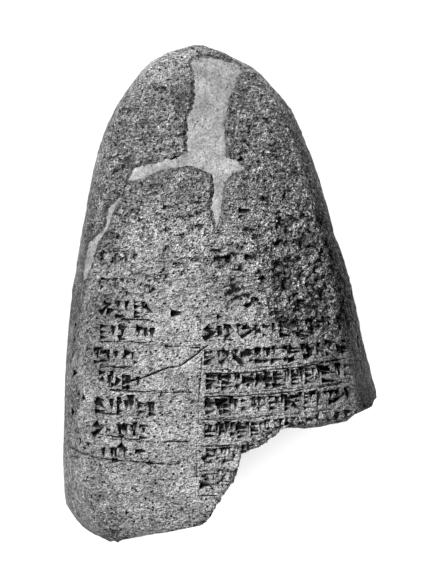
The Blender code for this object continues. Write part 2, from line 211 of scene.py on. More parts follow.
def copy_of(node, name):
    """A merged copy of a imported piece."""
    only(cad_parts[node])
    bpy.ops.object.duplicate()
    item = bpy.context.object
    item.name = name
    item.parent = None
    item.matrix_world = Matrix.Identity(4)
    only(item)
    bpy.ops.object.mode_set(mode="EDIT")
    bpy.ops.mesh.select_all(action="SELECT")
    bpy.ops.mesh.remove_doubles(threshold=MERGE)
    bpy.ops.object.mode_set(mode="OBJECT")
    return item


stone = copy_of("stone", "carved_stone")
print("merged stone:", triangles(stone), "triangles")

# %% [markdown]
# ## The wedge
#
# A stroke of this writing is a three-sided notch: wide and deep at its head, running out at its tail.
# One notch is modelled as a three-sided cone on its side, then copied, turned and stretched to each
# place. All copies are joined and cut out of the stone in one Boolean, far faster than one by one.

# %% One wedge, its head at the origin
LIE_DOWN = Matrix(((0, 0, 1, 0.5), (-1, 0, 0, 0), (0, -1, 0, 0), (0, 0, 0, 1)))

bpy.ops.mesh.primitive_cone_add(vertices=3, radius1=1.0, radius2=0.0, depth=1.0, location=(0, 0, 0))
wedge = bpy.context.object
wedge.name = "wedge"
wedge.data.transform(LIE_DOWN)
print("wedge:", triangles(wedge), "triangles")

# %% The face under a place
AROUND = [(0.03, 0.0), (-0.03, 0.0), (0.0, 0.009), (0.0, -0.009)]
DOWN = Vector((0, 0, -1))

ground = BVHTree.FromObject(stone, bpy.context.evaluated_depsgraph_get())


def under(across, along):
    """The point of the face under a place, and the normal just there."""
    return ground.ray_cast(at(across, along, 2 * HIGH.z), DOWN)[:2]


def drop_on_face(across, along):
    """The point of the face under a place, and the face's lean, which a stroke there doesn't tip."""
    hit = under(across, along)[0]
    normals = [under(across + a, along + b)[1] for a, b in AROUND]
    lean = sum((normal for normal in normals if normal is not None), Vector((0, 0, 0)))
    return hit, lean.normalized()


print("crest of the face, in mm:", round(drop_on_face(0.0, 0.5)[0].z / MM))

# %% Cutters
STEEPEST = 0.15
HEAD_SPREAD = math.sin(math.pi / 3)


def link_new(name, data):
    """A new object in the scene, for this mesh or for none."""
    item = bpy.data.objects.new(name, data)
    bpy.context.scene.collection.objects.link(item)
    return item


def wedge_at(across, along, way, length, width, depth):
    """One cutter: its head at a place, its tail running away in a direction in degrees."""
    hit, normal = drop_on_face(across, along)
    if hit is None or normal.z < STEEPEST:
        return None
    tilt = Vector((0, 0, 1)).rotation_difference(normal).to_matrix().to_4x4()
    turn = Matrix.Rotation(math.radians(way), 4, "Z")
    size = Matrix.Diagonal((length, width * HEAD_SPREAD, depth, 1.0))
    data = wedge.data.copy()
    data.transform(Matrix.Translation(hit) @ tilt @ turn @ size)
    return link_new("wedge", data)


def cut_out(item, cutters, overlapping=True):
    """Join the cutters and take them out of a piece."""
    bpy.ops.object.select_all(action="DESELECT")
    for cutter in cutters:
        cutter.select_set(True)
    bpy.context.view_layer.objects.active = cutters[0]
    if len(cutters) > 1:
        bpy.ops.object.join()
    tool = bpy.context.view_layer.objects.active
    apply_modifier(
        item, "BOOLEAN", object=tool, operation="DIFFERENCE", solver="EXACT", use_self=overlapping
    )
    bpy.data.objects.remove(tool)


# %% [markdown]
# ## The rows
#
# The rows sag in the middle and climb at both sides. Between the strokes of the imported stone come
# more, in made-up groups of bars, uprights and slanting heads, so that the right column reads as
# dense writing. None of the groups is a letter.

# %% How the rows run, as shares along
ROW_PITCH = 0.0186
ROW_SWEEP = 0.034
ROW_MIDDLE = -0.19


def row_height(across, top, row):
    """The share along of a row at a place across."""
    return top + ROW_SWEEP * ((across - ROW_MIDDLE) / (1 - ROW_MIDDLE)) ** 2 - row * ROW_PITCH / LENGTH


print("rows are apart, in mm:", round(ROW_PITCH / MM, 1))

# %% Where the stone is broken away
BREAK_EDGE = [
    (-0.12, 0.03), (0.038, 0.098), (0.115, 0.153), (0.15, 0.18), (0.385, 0.227), (0.77, 0.237),
    (1.0, 0.276),
]
BREAK_ACROSS, BREAK_ALONG = zip(*BREAK_EDGE)
EDGE_MARGIN = 0.002


def clear_of_break(across, along):
    """Whether a place is on the stone, clear of the break."""
    return along > np.interp(across, BREAK_ACROSS, BREAK_ALONG) + EDGE_MARGIN


print("the foot's middle is there:", bool(clear_of_break(-0.4, 0.1)))

# %% Made-up groups
# A stroke is its place across and up in the cell, its way, length and width; the cell's width is last.
UPRIGHT, LEVEL, RISING, FALLING = -90, 0, 38, -42
THREE_BARS = [(0.05, 0.15 + 0.33 * i, LEVEL, 0.95, 0.26) for i in range(3)]
THREE_UPRIGHTS = [(0.15 + 0.36 * i, 0.95, UPRIGHT, 0.85, 0.32) for i in range(3)]
FOUR_STEPS = [(0.1, 0.1 + 0.27 * i, LEVEL, 0.6, 0.22) for i in range(4)]
BOX = [
    (0.0, 0.85, LEVEL, 0.9, 0.28), (0.0, 0.15, LEVEL, 0.9, 0.28),
    (0.2, 0.95, UPRIGHT, 0.8, 0.28), (0.75, 0.95, UPRIGHT, 0.8, 0.28),
]
SLANTS = [(0.0, 0.15, RISING, 1.1, 0.34), (0.1, 0.85, FALLING, 0.9, 0.34), (0.7, 0.5, LEVEL, 0.5, 0.4)]
HEAD = [(0.1, 0.55, LEVEL, 0.8, 0.60), (0.75, 0.9, UPRIGHT, 0.8, 0.36), (0.7, 0.2, LEVEL, 0.5, 0.26)]
BARS_GROUP = (THREE_BARS + [(0.95, 0.95, UPRIGHT, 0.9, 0.30)], 0.95)
GROUPS = [
    BARS_GROUP,
    BARS_GROUP,
    (THREE_UPRIGHTS + [(0.0, 0.5, LEVEL, 1.0, 0.22)], 0.95),
    (BOX, 0.85),
    (SLANTS, 1.0),
    (HEAD, 1.0),
    (FOUR_STEPS + [(0.65, 0.95, UPRIGHT, 0.9, 0.32)], 0.7),
]
print("groups to choose from:", len(GROUPS))

# %% Groups along the rows of a column
GROUP_HEIGHT = 0.0135
GROUP_SIZE = (0.85, 1.1)
GAP_SIZE = (0.4, 1.6)
START_SHIFT = 0.01
STROKE_SHIFT = 0.002
STROKE_TURN = 7
STROKE_DEPTH = (0.0024, 0.0036)
STROKE_WIDTH = (1.0, 1.5)
BOLDER_RIGHT = 0.45


def stroke_in_row(start, top, row, stroke, cell, dice):
    """One stroke of a group whose cell starts here, or nothing where the stone is broken away."""
    u, v, way, length, width = stroke
    across = start + u * cell / (WIDTH / 2)
    along = row_height(across, top, row) + (v - 0.5) * GROUP_HEIGHT / LENGTH
    along += dice.uniform(-STROKE_SHIFT, STROKE_SHIFT)
    depth = dice.uniform(*STROKE_DEPTH)
    if not clear_of_break(across, along):
        return None
    turn = way + dice.uniform(-STROKE_TURN, STROKE_TURN)
    bold = 1 + BOLDER_RIGHT * max(across, 0)
    wide_head = width * cell * dice.uniform(*STROKE_WIDTH) * bold
    return wedge_at(across, along, turn, length * cell * bold, wide_head, depth * bold)


def row_strokes(column, dice):
    """Cutters for the groups of one column."""
    start, end, top, rows, chance, gap = column
    made = []
    for row in range(rows):
        across = start + dice.uniform(-START_SHIFT, START_SHIFT)
        while across < end:
            group, wide = dice.choice(GROUPS)
            cell = GROUP_HEIGHT * dice.uniform(*GROUP_SIZE)
            carved = group if dice.random() < chance else []
            for stroke in carved:
                made.append(stroke_in_row(across, top, row, stroke, cell, dice))
            across += (wide + gap * dice.uniform(*GAP_SIZE)) * cell / (WIDTH / 2)
    return [cutter for cutter in made if cutter is not None]


# %% What is left of the worn rows
WORN_ACROSS = (-0.78, 0.78)
WORN_ALONG = (0.48, 0.74)
WORN_WAYS = [LEVEL, LEVEL, LEVEL, RISING]
WORN_TURN = 12
WORN_LENGTH = (0.004, 0.013)
WORN_WIDTH = (0.0014, 0.0034)
WORN_DEPTH = (0.0008, 0.0016)


def worn_strokes(count, dice):
    """Cutters for short marks, thin and shallow."""
    made = []
    for _ in range(count):
        across, along = dice.uniform(*WORN_ACROSS), dice.uniform(*WORN_ALONG)
        way = dice.choice(WORN_WAYS) + dice.uniform(-WORN_TURN, WORN_TURN)
        length, width = dice.uniform(*WORN_LENGTH), dice.uniform(*WORN_WIDTH)
        made.append(wedge_at(across, along, way, length, width, dice.uniform(*WORN_DEPTH)))
    return [cutter for cutter in made if cutter is not None]


# %% Cut the rows: start and end across, top row along, rows, chance of a group, gap
SEED = 11
RIGHT_ROWS = (-0.10, 0.78, 0.421, 7, 0.96, 0.05)
LEFT_ROWS = (-0.80, -0.52, 0.464, 7, 0.40, 0.35)
WORN_STROKES = 90

dice = random.Random(SEED)
fine = row_strokes(RIGHT_ROWS, dice) + row_strokes(LEFT_ROWS, dice)
fine += worn_strokes(WORN_STROKES, dice)
print("strokes in groups and alone:", len(fine))
cut_out(stone, fine)
print("stone after them:", triangles(stone), "triangles")

# %% [markdown]
# ## Bold heads
#
# Some heads are far bolder than the rest. Above the clear rows, and towards the left edge, the
# writing has weathered to single blunt ones. They stand where the photograph has them, so they are
# listed one by one: across and along as shares, way in degrees, length and width in millimetres.

# %% Single heads in the worn parts
WORN_HEADS = [
    (-0.36, 0.674, LEVEL, 8, 5), (-0.35, 0.628, LEVEL, 8, 5), (-0.26, 0.618, LEVEL, 16, 2),
    (-0.10, 0.621, LEVEL, 14, 2), (-0.66, 0.614, LEVEL, 6, 5), (-0.35, 0.591, LEVEL, 6, 5),
    (-0.62, 0.573, UPRIGHT, 5, 5), (-0.69, 0.566, LEVEL, 6, 5), (-0.77, 0.522, LEVEL, 5, 5),
    (-0.615, 0.530, UPRIGHT, 6, 6), (-0.475, 0.533, LEVEL, 7, 6), (-0.352, 0.534, LEVEL, 7, 6),
    (-0.475, 0.514, LEVEL, 7, 5), (-0.04, 0.571, LEVEL, 12, 6), (0.16, 0.573, LEVEL, 9, 6),
    (0.27, 0.530, LEVEL, 9, 8), (0.36, 0.602, LEVEL, 8, 6), (0.50, 0.600, UPRIGHT, 8, 6),
    (0.60, 0.598, FALLING, 9, 6), (0.22, 0.488, RISING, 11, 6), (0.16, 0.472, RISING, 12, 6),
    (0.36, 0.471, UPRIGHT, 8, 6), (-0.02, 0.454, LEVEL, 8, 6), (0.50, 0.470, LEVEL, 9, 6),
    (0.64, 0.500, FALLING, 9, 6), (0.70, 0.470, LEVEL, 8, 6), (-0.93, 0.436, LEVEL, 10, 6),
    (-0.88, 0.436, UPRIGHT, 8, 5), (-0.945, 0.262, LEVEL, 12, 9), (-0.935, 0.340, LEVEL, 12, 7),
    (-0.945, 0.372, RISING, 9, 6), (-0.93, 0.410, FALLING, 9, 6), (-0.90, 0.300, UPRIGHT, 8, 6),
    (-0.60, 0.500, LEVEL, 9, 5), (-0.30, 0.560, LEVEL, 10, 4), (0.12, 0.771, LEVEL, 6, 6),
    (-0.62, 0.875, FALLING, 8, 6), (0.365, 0.645, LEVEL, 10, 8), (0.405, 0.700, FALLING, 9, 8),
    (0.27, 0.692, LEVEL, 8, 6), (0.12, 0.667, LEVEL, 10, 5), (-0.02, 0.574, LEVEL, 17, 6),
    (0.53, 0.655, LEVEL, 8, 7), (-0.50, 0.905, LEVEL, 6, 4), (-0.42, 0.700, LEVEL, 8, 4),
    (-0.52, 0.648, LEVEL, 7, 4), (-0.20, 0.655, LEVEL, 9, 3),
]
print("worn heads:", len(WORN_HEADS))

# %% Bold heads in the clear rows
BOLD_HEADS = [
    (-0.72, 0.466, LEVEL, 10, 6), (-0.48, 0.476, FALLING, 10, 7), (-0.31, 0.461, LEVEL, 11, 6),
    (-0.65, 0.410, RISING, 13, 6), (-0.53, 0.430, LEVEL, 9, 7), (-0.74, 0.383, FALLING, 9, 6),
    (-0.61, 0.381, LEVEL, 10, 8), (-0.77, 0.342, LEVEL, 7, 5), (-0.69, 0.346, UPRIGHT, 11, 5),
    (-0.875, 0.294, FALLING, 8, 7), (-0.79, 0.288, FALLING, 15, 7), (-0.568, 0.297, UPRIGHT, 14, 8),
    (-0.64, 0.226, LEVEL, 10, 7), (-0.54, 0.243, UPRIGHT, 9, 6), (-0.895, 0.204, LEVEL, 6, 6),
    (-0.84, 0.202, UPRIGHT, 7, 5), (-0.64, 0.198, FALLING, 12, 8), (-0.54, 0.184, LEVEL, 9, 5),
    (0.09, 0.374, FALLING, 15, 6), (0.14, 0.327, LEVEL, 16, 8), (0.28, 0.329, LEVEL, 13, 7),
    (0.57, 0.392, UPRIGHT, 14, 7), (0.74, 0.392, LEVEL, 9, 8), (-0.10, 0.280, LEVEL, 15, 9),
    (-0.02, 0.274, RISING, 15, 6), (0.41, 0.282, LEVEL, 12, 8), (0.46, 0.280, FALLING, 14, 5),
    (0.365, 0.295, UPRIGHT, 14, 6), (0.48, 0.296, UPRIGHT, 14, 7), (-0.06, 0.238, UPRIGHT, 13, 6),
    (0.10, 0.232, LEVEL, 19, 7), (0.29, 0.214, RISING, 14, 7), (0.45, 0.240, FALLING, 11, 9),
    (-0.11, 0.166, RISING, 12, 7), (0.08, 0.176, LEVEL, 11, 9), (-0.13, 0.116, LEVEL, 19, 8),
    (-0.12, 0.134, LEVEL, 10, 4), (-0.02, 0.118, RISING, 11, 5), (-0.60, 0.060, LEVEL, 5, 4),
    (-0.55, 0.045, UPRIGHT, 5, 4),
]
print("bold heads:", len(BOLD_HEADS))

# %% Cut the heads
WORN_HEAD_DEPTH = 0.0030
BOLD_HEAD_DEPTH = 0.0042


def heads_of(table, depth):
    """Cutters for a table of single heads."""
    made = [wedge_at(a, b, way, length * MM, width * MM, depth) for a, b, way, length, width in table]
    return [head for head in made if head is not None]


cut_out(stone, heads_of(WORN_HEADS, WORN_HEAD_DEPTH) + heads_of(BOLD_HEADS, BOLD_HEAD_DEPTH))
print("stone after its heads:", triangles(stone), "triangles")

# %% [markdown]
# ## Rulings and cracks
#
# Each row stands on a ruled line, a thin upright line parts the columns, and a natural crack runs up
# across the blank space between them. A line follows the domed face, so its cutter is a thin
# three-sided bar whose corners are found ring by ring.

# %% The places that the lines run through
COLUMN_LINE = [(-0.105, 0.385), (-0.122, 0.335), (-0.130, 0.290), (-0.145, 0.190), (-0.150, 0.120)]
CRACK_LINE = [
    (-0.596, 0.324), (-0.540, 0.327), (-0.400, 0.342), (-0.325, 0.353), (-0.263, 0.353),
    (-0.200, 0.367), (-0.075, 0.397),
]
SIDE_CRACK = [(-0.585, 0.722), (-0.610, 0.712), (-0.614, 0.700), (-0.629, 0.691)]
LEFT_RULES = [
    [(-0.62, 0.448), (-0.44, 0.447)],
    [(-0.785, 0.404), (-0.60, 0.403), (-0.465, 0.401)],
    [(-0.35, 0.395), (-0.125, 0.392)],
    [(-0.76, 0.353), (-0.563, 0.353)],
    [(-0.70, 0.307), (-0.43, 0.303), (-0.178, 0.301)],
    [(-0.772, 0.262), (-0.62, 0.257)],
    [(-0.79, 0.219), (-0.556, 0.208), (-0.48, 0.206)],
    [(-0.34, 0.203), (-0.20, 0.202)],
    [(-0.97, 0.192), (-0.883, 0.179), (-0.752, 0.169), (-0.426, 0.159), (-0.256, 0.159)],
]
RIGHT_RULES = [
    [(-0.10, 0.340), (0.15, 0.341), (0.45, 0.351), (0.76, 0.367)],
    [(-0.10, 0.294), (0.15, 0.294), (0.45, 0.303), (0.76, 0.319)],
    [(-0.12, 0.246), (0.15, 0.248), (0.36, 0.257)],
    [(-0.14, 0.194), (0.12, 0.196)],
    [(-0.13, 0.144), (0.04, 0.146)],
    [(-0.12, 0.095), (-0.02, 0.095)],
]
print("ruled lines:", len(LEFT_RULES) + len(RIGHT_RULES))

# %% A bar that follows the face
LINE_STEP = 0.006
LINE_WOBBLE = 0.0004
LINE_CLEAR = 0.0012


def spots_along(places):
    """The places of a line, with more between them where they are far apart."""
    spots = []
    for (a, b), (c, d) in zip(places, places[1:]):
        count = max(1, round((at(c, d) - at(a, b)).length / LINE_STEP))
        spots += [(a + (c - a) * i / count, b + (d - b) * i / count) for i in range(count)]
    return spots + [places[-1]]


def ring_at(spots, index, width, depth, dice):
    """Three corners of the bar at one spot: one under the face and two above it."""
    before, after = spots[max(index - 1, 0)], spots[min(index + 1, len(spots) - 1)]
    ahead = (at(*after) - at(*before)).normalized()
    hit, normal = drop_on_face(*spots[index])
    side = normal.cross(ahead).normalized()
    hit = hit + side * dice.uniform(-LINE_WOBBLE, LINE_WOBBLE)
    splay = side * (width / 2 * (1 + LINE_CLEAR / depth))
    above = hit + normal * LINE_CLEAR
    return hit - normal * depth, above + splay, above - splay


def line_cutter(places, width, depth, dice):
    """A thin three-sided bar that follows the face through these places."""
    spots = spots_along(places)
    bar = bmesh.new()
    rings = []
    for index in range(len(spots)):
        rings.append([bar.verts.new(corner) for corner in ring_at(spots, index, width, depth, dice)])
    for here, there in zip(rings, rings[1:]):
        for k in range(3):
            j = (k + 1) % 3
            bar.faces.new((here[k], here[j], there[j], there[k]))
    bar.faces.new(rings[0])
    bar.faces.new(reversed(rings[-1]))
    bmesh.ops.recalc_face_normals(bar, faces=bar.faces)
    data = bpy.data.meshes.new("line")
    bar.to_mesh(data)
    bar.free()
    return link_new("line", data)


# %% Cut the lines: places, width and depth
RULE_SIZE = (0.0014, 0.0016)
LINES = [(COLUMN_LINE, 0.0010, 0.0009), (CRACK_LINE, 0.0018, 0.0020), (SIDE_CRACK, 0.0009, 0.0012)]
LINES += [(rule, *RULE_SIZE) for rule in LEFT_RULES + RIGHT_RULES]

for places, width, depth in LINES:
    before = triangles(stone)
    cut_out(stone, [line_cutter(places, width, depth, dice)], overlapping=False)
    print("line from", places[0], "adds", triangles(stone) - before, "triangles")
bpy.data.objects.remove(wedge)
print("stone after its lines:", triangles(stone), "triangles")

# %% [markdown]
# ## Crumbs
#
# Where cuts cross, a crumb of stone can stay behind with air all round it. The stone is parted into
# its loose pieces, and all but the largest go.

# %% Drop the crumbs
only(stone)
bpy.ops.mesh.separate(type="LOOSE")
*crumbs, stone = sorted(bpy.context.selected_objects, key=triangles)
stone.name = "carved_stone"
for crumb in crumbs:
    bpy.data.objects.remove(crumb)
print("crumbs dropped:", len(crumbs))

# %% [markdown]
# ## A fine skin
#
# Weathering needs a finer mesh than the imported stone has, but only where it shows. Edges longer than
# the local limit are cut in half again and again: fine on the face, coarser on the sides and back.
# The halves of the cut faces are joined by their shortest diagonals, which keeps the mesh closed.

# %% Split the long edges
REFINE_ROUNDS = 5


def split_long_edges(item, too_long):
    """Halve every edge that a rule calls too long, several times over, and keep to triangles."""
    only(item)
    bpy.ops.object.mode_set(mode="EDIT")
    bpy.ops.mesh.select_mode(type="EDGE")
    bpy.ops.mesh.select_all(action="SELECT")
    bpy.ops.mesh.quads_convert_to_tris(quad_method="BEAUTY", ngon_method="BEAUTY")
    for _ in range(REFINE_ROUNDS):
        bpy.ops.mesh.select_all(action="DESELECT")
        skin = bmesh.from_edit_mesh(item.data)
        skin.normal_update()
        for edge, chosen in zip(skin.edges, too_long(skin)):
            edge.select_set(bool(chosen))
        bmesh.update_edit_mesh(item.data)
        bpy.ops.mesh.subdivide(number_cuts=1)
        bpy.ops.mesh.select_all(action="SELECT")
        bpy.ops.mesh.quads_convert_to_tris(quad_method="SHORTEST_DIAGONAL", ngon_method="BEAUTY")
    bpy.ops.object.mode_set(mode="OBJECT")


# %% Refine the stone
FACE_EDGE = 0.0021
SIDE_EDGE = 0.0065
BACK_EDGE = 0.0130
FACING_UP = (0.15, 0.45)
HIGH_ON_SIDE = (0.20 * DEPTH, 0.45 * DEPTH)


def too_long_for_stone(skin):
    """Which edges are longer than the limit at their place."""
    ends = np.array([[*edge.verts[0].co, *edge.verts[1].co] for edge in skin.edges])
    turns = np.array([edge.verts[0].normal + edge.verts[1].normal for edge in skin.edges]) / 2
    middles = (ends[:, :3] + ends[:, 3:]) / 2
    facing = smooth_step(turns[:, 2], *FACING_UP)
    high = smooth_step(middles[:, 2], *HIGH_ON_SIDE)
    side = BACK_EDGE + (SIDE_EDGE - BACK_EDGE) * high
    limits = side + (FACE_EDGE - side) * facing * high
    return np.linalg.norm(ends[:, :3] - ends[:, 3:], axis=1) > limits


split_long_edges(stone, too_long_for_stone)
print("fine skin:", triangles(stone), "triangles")

# %% [markdown]
# ## How a surface is weathered
#
# Each kind of weathering has its own place, painted as a vertex group, and its own noise, which a
# Displace modifier turns into relief. Bump in a material would be quicker, but relief also shows in
# the outline and in the mesh itself.


# %% Places on a piece
def vertices_of(item):
    """The places and the normals of all vertices, as arrays."""
    count = len(item.data.vertices)
    places, normals = np.empty(count * 3), np.empty(count * 3)
    item.data.vertices.foreach_get("co", places)
    item.data.vertices.foreach_get("normal", normals)
    return places.reshape(-1, 3), normals.reshape(-1, 3)


def shares_of(places):
    """Shares across and along of these places."""
    across = (places[:, 0] - (LOW.x + HIGH.x) / 2) / (WIDTH / 2)
    return across, (places[:, 1] - LOW.y) / LENGTH


# %% Weights
LIGHTEST = 0.01
PATCH_INNER = 0.6
PATCH_OUTER = 1.15


def weigh(item, name, weights):
    """Keep these weights of the vertices as a vertex group."""
    group = item.vertex_groups.new(name=name)
    for index in np.flatnonzero(weights > LIGHTEST):
        group.add([int(index)], float(weights[index]), "REPLACE")
    print(name, "covers", round(100 * float(np.mean(weights > 0.5))), "% of", item.name)


def patch(across, along, place, reach, inner=PATCH_INNER):
    """1 in the inner share of an oval, fading to 0 outside it."""
    distance = np.hypot((across - place[0]) / reach[0], (along - place[1]) / reach[1])
    return 1 - smooth_step(distance, inner, PATCH_OUTER)


# %% Relief
def weather(item, name, group, scale, strength, mid_level=0.5, direction="NORMAL", ruler=None, **settings):
    """Push the surface to and fro by a cloudy noise of this scale, within a vertex group."""
    pattern = bpy.data.textures.new(name, "CLOUDS")
    pattern.noise_scale = scale
    for key, value in settings.items():
        setattr(pattern, key, value)
    coords = {"texture_coords": "LOCAL"}
    if ruler:
        coords = {"texture_coords": "OBJECT", "texture_coords_object": ruler}
    coords.update(strength=strength, mid_level=mid_level, direction=direction)
    apply_modifier(item, "DISPLACE", texture=pattern, vertex_group=group, **coords)
    bpy.data.textures.remove(pattern)


# %% [markdown]
# ## Plaster
#
# The repairs are trowelled into old breaks. They could be drawn as flat shapes, but copies of the
# packed fills already follow the channels. They are refined, spread a little over the channel's
# edge, lifted to its rim, and given a ragged outline and a slightly pitted surface.

# %% Spread the walls of a fill
WALL_TILT = 0.10


def spread_walls(item, spread):
    """Move a fill's walls outward, and tell which of its vertices are on the upper side."""
    bpy.ops.object.mode_set(mode="EDIT")
    skin = bmesh.from_edit_mesh(item.data)
    walls = {face for face in skin.faces if abs(face.normal.z) < WALL_TILT}
    upper = np.zeros(len(skin.verts))
    for vertex in skin.verts:
        outward = sum((face.normal for face in vertex.link_faces if face in walls), Vector((0, 0, 0)))
        upper[vertex.index] = any(face not in walls and face.normal.z > 0 for face in vertex.link_faces)
        if outward.length > 0:
            vertex.co += outward.normalized() * spread
    bmesh.update_edit_mesh(item.data)
    bpy.ops.object.mode_set(mode="OBJECT")
    return upper


# %% One piece of plaster
FILL_EDGE = 0.0014
FILL_LIFT = 0.0014
RAGGED_SCALE = {"X": 0.0028, "Y": 0.0032}
SWELLS = (0.030, 0.0018)
TROWEL = (0.012, 0.0014)
PLASTER_GRAIN = (0.0034, 0.0008)


def too_long_for_plaster(skin):
    """Which edges are longer than the limit."""
    return [edge.calc_length() > FILL_EDGE for edge in skin.edges]


def plaster_piece(node, name, spread, ragged):
    """A refined copy of a packed fill, its walls moved outward and made ragged by so many metres."""
    item = copy_of(node, name)
    split_long_edges(item, too_long_for_plaster)
    upper = spread_walls(item, spread)
    weigh(item, "upper", upper)
    weigh(item, "all_round", np.ones(len(upper)))
    apply_modifier(item, "DISPLACE", vertex_group="upper", strength=FILL_LIFT, mid_level=0.0, direction="Z")
    for way, scale in RAGGED_SCALE.items():
        weather(item, "ragged_" + way, "all_round", scale, ragged, direction=way, noise_depth=2)
    weather(item, "swells", "all_round", *SWELLS, noise_depth=1)
    weather(item, "trowel", "upper", *TROWEL, noise_depth=1)
    weather(item, "plaster_grain", "upper", *PLASTER_GRAIN, noise_depth=2)
    print(name, triangles(item), "triangles")
    return item


# %% Plaster pieces: name, spread and raggedness
FILLS = {"crown_fill": ("crown_plaster", 0.0006, 0.0040), "side_fill": ("side_plaster", 0.0009, 0.0026)}

plasters = {node: plaster_piece(node, *values) for node, values in FILLS.items()}
scene_now = bpy.context.evaluated_depsgraph_get()
plaster_skins = [BVHTree.FromObject(item, scene_now) for item in plasters.values()]

# %% [markdown]
# ## Weathering
#
# The right shoulder has lost its skin in lumps, the edge of the break and a chip at the foot have
# crumbled, faint level ridges cross the upper part, and a fine grain covers all. Beside the plaster
# the stone stays calm, so that the channel's edge stays crisp.


# %% How near a place lies to the plaster
def nearness(places, skins, reach):
    """1 where a place touches one of these skins, fading to 0 at a distance."""
    found = np.zeros(len(places))
    for index, place in enumerate(places):
        point = Vector(place)
        for skin in skins:
            near = skin.find_nearest(point, reach)[0]
            if near is not None:
                found[index] = max(found[index], 1 - (near - point).length / reach)
    return found


# %% Where the weathering lies
WORN_PLACE = (0.62, 0.540)
WORN_REACH = (0.48, 0.190)
WORN_INNER = 0.35
CHIP = ((-0.68, 0.006), (0.10, 0.024))
CRUMBLED_REACH = (0.008, 0.034)
PLASTER_REACH = 0.0034
CALMNESS = 0.9
CALM_FADE = (0.2, 0.8)
FACING_FRONT = (-0.1, 0.4)
BED_RIM = (LOW.z + 0.004, LOW.z + 0.020)

places, normals = vertices_of(stone)
across, along = shares_of(places)
raised = smooth_step(places[:, 2], *BED_RIM)
calm = 1 - CALMNESS * smooth_step(nearness(places, plaster_skins, PLASTER_REACH), *CALM_FADE)
front = raised * calm * smooth_step(normals[:, 2], *FACING_FRONT)
lost_skin = front * patch(across, along, WORN_PLACE, WORN_REACH, inner=WORN_INNER)
from_break = along - np.interp(across, BREAK_ACROSS, BREAK_ALONG)
crumbled = raised * (across > BREAK_ACROSS[0]) * (1 - smooth_step(from_break, *CRUMBLED_REACH))
crumbled = np.maximum(crumbled, raised * patch(across, along, *CHIP))
ridged = front * (0.20 + 0.80 * smooth_step(along, 0.38, 0.56)) * (1 - 0.5 * lost_skin)
grained = raised * calm * (0.6 + 0.4 * smooth_step(along, 0.42, 0.56))
weigh(stone, "all_round", raised)
weigh(stone, "grained", grained)
weigh(stone, "lost_skin", lost_skin)
weigh(stone, "crumbled", crumbled)
weigh(stone, "ridged", ridged)

# %% Weather the stone: noise, place, scale and strength in metres
RIDGE_STRETCH = (3.0, 1.0, 1.0)

stretch = link_new("stretch", None)
stretch.scale = RIDGE_STRETCH
perlin = {"noise_depth": 2, "noise_basis": "ORIGINAL_PERLIN"}
weather(stone, "swells", "all_round", *SWELLS, noise_depth=1)
weather(stone, "lumps", "lost_skin", 0.0085, 0.0080, mid_level=0.54, **perlin)
weather(stone, "crumbs", "lost_skin", 0.0036, 0.0060, noise_depth=2)
weather(stone, "crumbled_edge", "crumbled", 0.0050, 0.0050, mid_level=0.55, noise_depth=2)
weather(stone, "ridges", "ridged", 0.0034, 0.0042, ruler=stretch, noise_depth=2)
weather(stone, "grain", "grained", 0.0032, 0.0020, noise_depth=2)
bpy.data.objects.remove(stretch)
print("weathered stone:", triangles(stone), "triangles")

# %% [markdown]
# ## What the surface knows
#
# Shade is painted dark into hollows and beside the plaster, broken stone is blotchy, and the face is
# painted darker in broad zones and at its sides, partly as painted shade. A texture image could hold
# all that, but numbers on the vertices are simpler: hollow, beside, rough and how dark each place is
# painted for the stone, and fresh for the plaster. The materials read them.

# %% How deep a place lies below a smoothed copy
SMOOTH_VOXEL = 0.005
SMOOTH_FACTOR = 0.5
SMOOTH_ROUNDS = 30
HOLLOW_DEPTH = (0.0003, 0.0014)
FADED = 0.45


def write_attribute(item, name, values):
    """Keep one number on each vertex, for the materials."""
    stored = item.data.attributes.new(name, "FLOAT", "POINT")
    stored.data.foreach_set("value", np.ascontiguousarray(values, dtype=np.float32))
    print(name, "mean", round(float(np.mean(values)), 3))


only(stone)
bpy.ops.object.duplicate()
smoothed = bpy.context.object
apply_modifier(smoothed, "REMESH", mode="VOXEL", voxel_size=SMOOTH_VOXEL)
apply_modifier(smoothed, "SMOOTH", factor=SMOOTH_FACTOR, iterations=SMOOTH_ROUNDS)
smooth_skin = BVHTree.FromObject(smoothed, bpy.context.evaluated_depsgraph_get())
bpy.data.objects.remove(smoothed)

places, normals = vertices_of(stone)
across, along = shares_of(places)
hollow = np.zeros(len(places))
for index, place in enumerate(places):
    near, normal, _, _ = smooth_skin.find_nearest(Vector(place))
    hollow[index] = (near - Vector(place)).dot(normal)
# This number paints shade into the strokes and other hollows, less in a band of faint rows on the left.
faded = FADED * smooth_step(along, 0.48, 0.53) * (1 - smooth_step(across, -0.30, 0.0))
write_attribute(stone, "hollow", smooth_step(hollow, *HOLLOW_DEPTH) * (1 - faded))

# %% Painted shade beside the plaster, and roughness
EDGE_SHADE_REACH = 0.0034

write_attribute(stone, "beside", nearness(places, plaster_skins, EDGE_SHADE_REACH))
upper_skin = 0.40 * smooth_step(along, 0.50, 0.66)
upper_skin = upper_skin + 0.50 * smooth_step(across, 0.0, 0.40) * smooth_step(along, 0.39, 0.52)
write_attribute(stone, "rough", np.clip(lost_skin + 0.6 * crumbled + front * upper_skin, 0, 1))

# %% Darker sides, partly painted shade: shares of the stone's own width at each height
EDGE_BAND = 0.03
BREAK_TOP = 0.28

